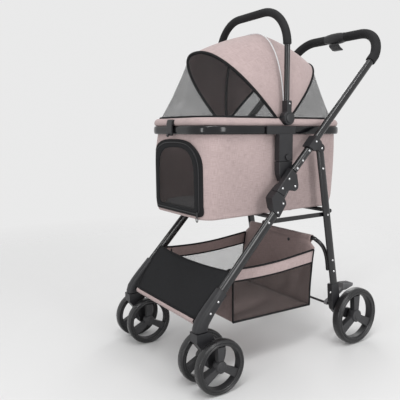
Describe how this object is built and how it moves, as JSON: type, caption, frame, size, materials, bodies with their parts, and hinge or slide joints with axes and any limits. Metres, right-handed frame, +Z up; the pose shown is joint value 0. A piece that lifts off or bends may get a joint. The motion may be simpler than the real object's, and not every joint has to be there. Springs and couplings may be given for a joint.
{
  "type": "pet stroller",
  "caption": "Folding pet stroller: a soft lift-off carrier with a mesh-ended canopy and carry handle on a black tube frame with swivel front wheels, a foot brake and a mesh basket.",
  "frame": {"origin": "on the floor, under the middle of the whole stroller's outline", "axes": "+X to the stroller's left side, -Y towards its front wheels, +Z up"},
  "size_m": [0.5226, 0.7816, 1.0724],
  "materials": {
    "black_tube": "satin black powder coat",
    "black_gloss": "glossy",
    "black_plastic": "fine texture",
    "grey_plastic": "ribbed",
    "tyre": "matte moulded foam rubber",
    "foam_grip": "matte foam",
    "steel": "zinc plated",
    "pink_fabric": "heathered plain weave",
    "black_mesh": "open knit mesh",
    "pad_fabric": "brushed fleece"
  },
  "bodies": {
    "frame": {"front_leg_left": "black_tube", "front_leg_right": "black_tube", "front_socket_left": "black_plastic", "front_socket_right": "black_plastic", "latch_lower_left": "black_plastic", "latch_lower_right": "black_plastic", "carrier_receiver_left": "black_plastic", "carrier_receiver_right": "black_plastic", "front_cross_tube": "black_tube", "front_lower_rod": "black_tube", "storage_basket": "black_mesh"},
    "handle": {"push_handle_tube": "black_tube", "handle_grip_left": "foam_grip", "handle_grip_right": "foam_grip", "handle_console": "black_plastic", "latch_upper_left": "black_plastic", "latch_upper_right": "black_plastic", "leg_bracket_left": "black_plastic", "leg_bracket_right": "black_plastic"},
    "fold_lever": {"fold_lever": "grey_plastic"},
    "rear_legs": {"rear_leg_left": "black_tube", "rear_leg_right": "black_tube", "rear_foot_left": "black_plastic", "rear_foot_right": "black_plastic", "rear_axle_left": "steel", "rear_axle_right": "steel", "rear_cross_tube": "black_tube", "basket_hoop": "black_tube"},
    "brake": {"brake_bar": "grey_plastic"},
    "carrier": {"carrier_body": "pink_fabric", "carrier_rim": "black_gloss", "carrier_pad": "pad_fabric", "canopy": "pink_fabric", "clip_post_left": "black_plastic", "clip_post_right": "black_plastic"},
    "carry_handle": {"carry_handle_tube": "black_tube", "carry_grip": "foam_grip", "handle_hub_left": "black_plastic", "handle_hub_right": "black_plastic"},
    "door": {"door_flap": "black_mesh"},
    "rear_wheel_left": {"rear_wheel_left": "black_plastic", "rear_tyre_left": "tyre"},
    "side_link_left": {"side_link_left": "black_tube"},
    "caster_left": {"caster_fork_left": "black_plastic", "front_axle_left": "steel"},
    "release_button_left": {"release_button_left": "grey_plastic"},
    "front_wheel_left_outer": {"front_wheel_left_outer": "black_plastic", "front_tyre_left_outer": "tyre"},
    "front_wheel_left_inner": {"front_wheel_left_inner": "black_plastic", "front_tyre_left_inner": "tyre"},
    "rear_wheel_right": {"rear_wheel_right": "black_plastic", "rear_tyre_right": "tyre"},
    "side_link_right": {"side_link_right": "black_tube"},
    "caster_right": {"caster_fork_right": "black_plastic", "front_axle_right": "steel"},
    "release_button_right": {"release_button_right": "grey_plastic"},
    "front_wheel_right_outer": {"front_wheel_right_outer": "black_plastic", "front_tyre_right_outer": "tyre"},
    "front_wheel_right_inner": {"front_wheel_right_inner": "black_plastic", "front_tyre_right_inner": "tyre"}
  },
  "joints": [
    {"name": "handle_fold", "type": "hinge", "parent": "frame", "child": "handle", "pos_m": [0, -0.0229, 0.5356], "axis": [-1, 0, 0], "range_deg": [0, 110], "deforming": ["storage_basket"]},
    {"name": "rear_leg_fold", "type": "hinge", "parent": "handle", "child": "rear_legs", "pos_m": [0, 0.0928, 0.645], "axis": [1, 0, 0], "range_deg": [0, 75.41]},
    {"name": "fold_lever_squeeze", "type": "hinge", "parent": "handle", "child": "fold_lever", "pos_m": [0, 0.3578, 1.006], "axis": [1, 0, 0], "range_deg": [0, 15], "stiffness_Nm_per_rad": 0.5, "springref_deg": -17.19},
    {"name": "brake_pedal_press", "type": "hinge", "parent": "rear_legs", "child": "brake", "pos_m": [0, 0.1676, 0.134], "axis": [-1, 0, 0], "range_deg": [0, 12]},
    {"name": "carrier_lift_off", "type": "slide", "parent": "frame", "child": "carrier", "axis": [0, 0, 1], "range_m": [0, 0.1]},
    {"name": "carry_handle_swing", "type": "hinge", "parent": "carrier", "child": "carry_handle", "pos_m": [0, -0.0224, 0.735], "axis": [1, 0, 0], "range_deg": [-80, 80]},
    {"name": "door_open", "type": "hinge", "parent": "carrier", "child": "door", "pos_m": [0, -0.3039, 0.464], "axis": [1, 0, 0], "range_deg": [0, 120]},
    {"name": "side_link_swing_left", "type": "hinge", "parent": "frame", "child": "side_link_left", "pos_m": [0.1882, -0.1178, 0.4334], "axis": [-1, 0, 0], "range_deg": [0, 74.33]},
    {"name": "caster_swivel_left", "type": "hinge", "parent": "frame", "child": "caster_left", "pos_m": [0.2058, -0.3508, 0.1645], "axis": [0, 0, 1], "continuous": true},
    {"name": "rear_wheel_spin_left", "type": "hinge", "parent": "rear_legs", "child": "rear_wheel_left", "pos_m": [0.2227, 0.2442, 0.092], "axis": [1, 0, 0], "continuous": true},
    {"name": "release_button_press_left", "type": "slide", "parent": "carrier", "child": "release_button_left", "axis": [-1, 0, 0], "range_m": [0, 0.003], "stiffness_N_per_m": 500, "springref_m": -0.002},
    {"name": "front_wheel_spin_left_outer", "type": "hinge", "parent": "caster_left", "child": "front_wheel_left_outer", "pos_m": [0.2483, -0.3158, 0.075], "axis": [1, 0, 0], "continuous": true},
    {"name": "front_wheel_spin_left_inner", "type": "hinge", "parent": "caster_left", "child": "front_wheel_left_inner", "pos_m": [0.1633, -0.3158, 0.075], "axis": [1, 0, 0], "continuous": true},
    {"name": "side_link_swing_right", "type": "hinge", "parent": "frame", "child": "side_link_right", "pos_m": [-0.1882, -0.1178, 0.4334], "axis": [-1, 0, 0], "range_deg": [0, 74.33]},
    {"name": "caster_swivel_right", "type": "hinge", "parent": "frame", "child": "caster_right", "pos_m": [-0.2058, -0.3508, 0.1645], "axis": [0, 0, 1], "continuous": true},
    {"name": "rear_wheel_spin_right", "type": "hinge", "parent": "rear_legs", "child": "rear_wheel_right", "pos_m": [-0.2227, 0.2442, 0.092], "axis": [1, 0, 0], "continuous": true},
    {"name": "release_button_press_right", "type": "slide", "parent": "carrier", "child": "release_button_right", "axis": [1, 0, 0], "range_m": [0, 0.003], "stiffness_N_per_m": 500, "springref_m": -0.002},
    {"name": "front_wheel_spin_right_outer", "type": "hinge", "parent": "caster_right", "child": "front_wheel_right_outer", "pos_m": [-0.2483, -0.3158, 0.075], "axis": [1, 0, 0], "continuous": true},
    {"name": "front_wheel_spin_right_inner", "type": "hinge", "parent": "caster_right", "child": "front_wheel_right_inner", "pos_m": [-0.1633, -0.3158, 0.075], "axis": [1, 0, 0], "continuous": true}
  ],
  "couplings": [
    {"joint": "rear_leg_fold", "follows": "handle_fold", "ratio": 0.6855},
    {"joint": "side_link_swing_left", "follows": "handle_fold", "ratio": 0.6757},
    {"joint": "side_link_swing_right", "follows": "handle_fold", "ratio": 0.6757}
  ]
}
